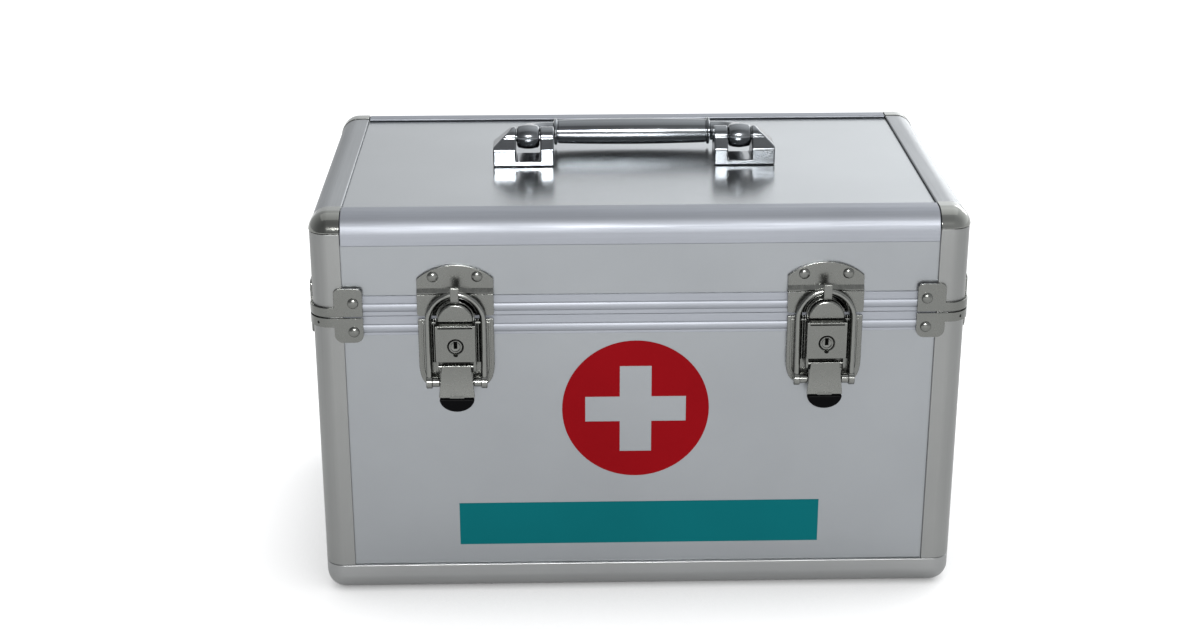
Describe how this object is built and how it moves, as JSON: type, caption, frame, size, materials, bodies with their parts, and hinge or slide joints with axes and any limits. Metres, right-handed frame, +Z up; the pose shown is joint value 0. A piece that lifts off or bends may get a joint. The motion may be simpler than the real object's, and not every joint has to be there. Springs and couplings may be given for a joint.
{
  "type": "first aid box",
  "caption": "Lockable first aid box with a hinged lid, panels held in rounded corner rails, front draw latches, rear stop hinges and a folding top handle",
  "frame": {"origin": "centre of the bounding box in x and y, at the underside of the bottom frame", "axes": "+X to the right seen from the front, +Y to the back (hinge side), +Z up; the latches face -Y"},
  "size_m": [0.3256, 0.2084, 0.221],
  "materials": {
    "panel": "satin",
    "frame": "satin",
    "chrome": "polished",
    "nickel": "bright plated",
    "black_plastic": "smooth"
  },
  "bodies": {
    "base": {"bottom_frame": "frame", "bottom_panel": "panel", "base_panel_front": "panel", "base_rim_front": "frame", "base_panel_back": "panel", "base_rim_back": "frame", "base_panel_left": "panel", "base_rim_left": "frame", "base_panel_right": "panel", "base_rim_right": "frame", "base_rail_front_left": "frame", "base_rail_front_right": "frame", "base_rail_back_left": "frame", "base_rail_back_right": "frame", "base_brace_front_left": "nickel", "base_brace_front_right": "nickel", "latch_body_left": "nickel", "hinge_base_leaf_left": "nickel", "hinge_pin_left": "nickel", "latch_body_right": "nickel", "hinge_base_leaf_right": "nickel", "hinge_pin_right": "nickel"},
    "lid": {"top_panel": "panel", "lid_panel_front": "panel", "lid_rim_front": "frame", "top_rail_front": "frame", "lid_panel_back": "panel", "lid_rim_back": "frame", "top_rail_back": "frame", "lid_panel_left": "panel", "lid_rim_left": "frame", "top_rail_left": "frame", "lid_panel_right": "panel", "lid_rim_right": "frame", "top_rail_right": "frame", "lid_rail_front_left": "frame", "top_cap_front_left": "chrome", "lid_rail_front_right": "frame", "top_cap_front_right": "chrome", "lid_rail_back_left": "frame", "top_cap_back_left": "chrome", "lid_rail_back_right": "frame", "top_cap_back_right": "chrome", "lid_brace_front_left": "nickel", "lid_brace_front_right": "nickel", "latch_keeper_left": "nickel", "hinge_lid_leaf_left": "nickel", "handle_bracket_left": "chrome", "latch_keeper_right": "nickel", "hinge_lid_leaf_right": "nickel", "handle_bracket_right": "chrome"},
    "handle": {"handle_grip": "chrome"},
    "lever_left": {"latch_lever_left": "nickel", "lever_tip_left": "black_plastic"},
    "bail_left": {"latch_bail_left": "chrome"},
    "plug_left": {"key_plug_left": "nickel"},
    "lever_right": {"latch_lever_right": "nickel", "lever_tip_right": "black_plastic"},
    "bail_right": {"latch_bail_right": "chrome"},
    "plug_right": {"key_plug_right": "nickel"}
  },
  "joints": [
    {"name": "lid_hinge", "type": "hinge", "parent": "base", "child": "lid", "pos_m": [0, 0.1, 0.15115], "axis": [-1, 0, 0], "range_deg": [0, 100]},
    {"name": "handle_swing", "type": "hinge", "parent": "lid", "child": "handle", "pos_m": [0, 0, 0.2147], "axis": [1, 0, 0], "range_deg": [0, 200]},
    {"name": "latch_lever_left", "type": "hinge", "parent": "base", "child": "lever_left", "pos_m": [-0.09, -0.0994, 0.1272], "axis": [-1, 0, 0], "range_deg": [0, 100]},
    {"name": "bail_swing_left", "type": "hinge", "parent": "lever_left", "child": "bail_left", "pos_m": [-0.09, -0.0982, 0.1186], "axis": [-1, 0, 0], "range_deg": [-85.5, 0]},
    {"name": "key_turn_left", "type": "hinge", "parent": "base", "child": "plug_left", "pos_m": [-0.09, -0.1012, 0.1392], "axis": [0, -1, 0], "range_deg": [0, 90]},
    {"name": "latch_lever_right", "type": "hinge", "parent": "base", "child": "lever_right", "pos_m": [0.09, -0.0994, 0.1272], "axis": [-1, 0, 0], "range_deg": [0, 100]},
    {"name": "bail_swing_right", "type": "hinge", "parent": "lever_right", "child": "bail_right", "pos_m": [0.09, -0.0982, 0.1186], "axis": [-1, 0, 0], "range_deg": [-85.5, 0]},
    {"name": "key_turn_right", "type": "hinge", "parent": "base", "child": "plug_right", "pos_m": [0.09, -0.1012, 0.1392], "axis": [0, -1, 0], "range_deg": [0, 90]}
  ],
  "couplings": [
    {"joint": "bail_swing_left", "follows": "latch_lever_left", "ratio": -0.855},
    {"joint": "bail_swing_right", "follows": "latch_lever_right", "ratio": -0.855}
  ]
}
